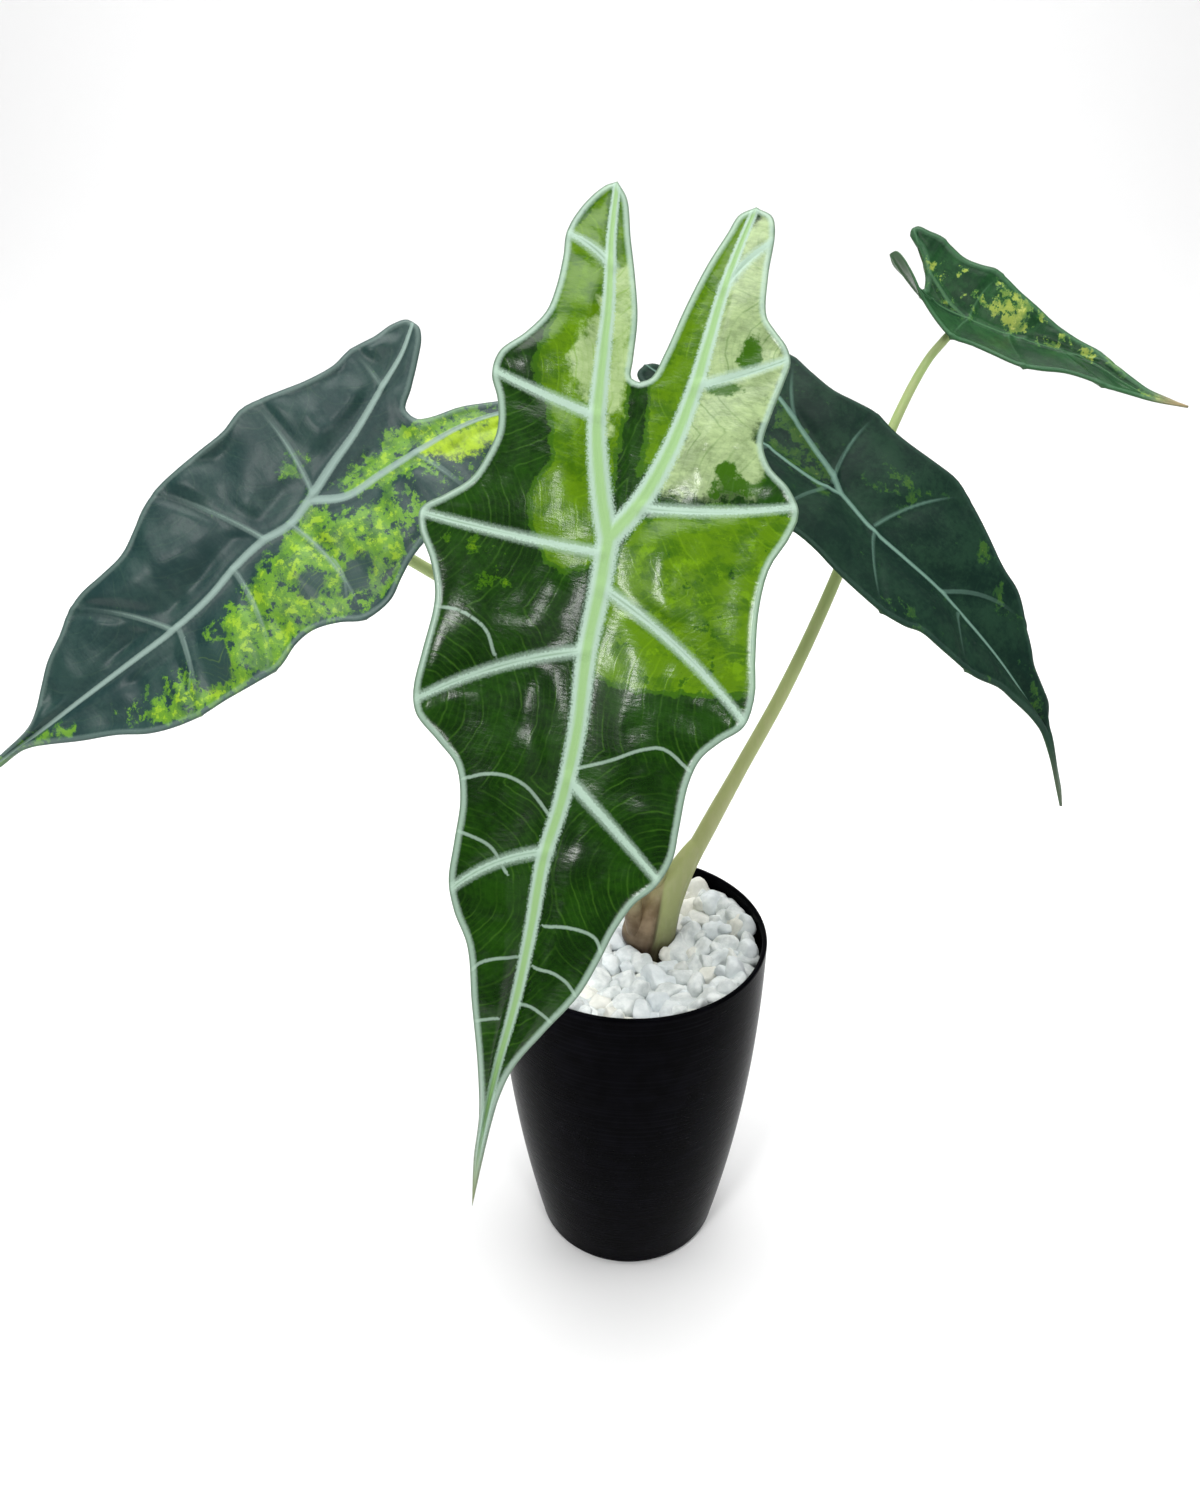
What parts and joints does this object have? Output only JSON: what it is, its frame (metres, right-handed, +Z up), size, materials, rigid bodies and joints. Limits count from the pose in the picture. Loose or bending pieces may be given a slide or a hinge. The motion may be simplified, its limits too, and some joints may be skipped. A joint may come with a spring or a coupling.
{
  "type": "potted plant",
  "caption": "Variegated kris plant with arrow-shaped, wavy-edged leaves on bare stalks, growing in a tapered black pot topped with white pebbles.",
  "frame": {"origin": "middle of the pot's underside", "axes": "+Z up along the pot's axis, -Y toward the side that the largest leaf hangs over, the side the picture is taken from, +X to its right"},
  "size_m": [0.3552, 0.1772, 0.3495],
  "materials": {
    "pot": "black satin plastic, faintly ringed",
    "soil": "dark crumbly peat soil",
    "pebbles": "matt white stone chips",
    "stalk": "smooth olive-green stalk, pinkish brown at the foot",
    "leaf_front": "glossy dark green leaf with lime sectors and silvery veins",
    "leaf_left": "satin grey-green leaf mottled lime, silvery veins",
    "leaf_right": "satin dark green leaf with pale veins",
    "leaf_upper": "satin green leaf with yellow-lime patches, brownish tip"
  },
  "bodies": {
    "root": {"pot": "pot", "potting_soil": "soil", "white_pebbles": "pebbles", "stalks": "stalk", "leaf_front": "leaf_front", "leaf_left": "leaf_left", "leaf_right": "leaf_right", "leaf_upper": "leaf_upper"}
  },
  "joints": []
}
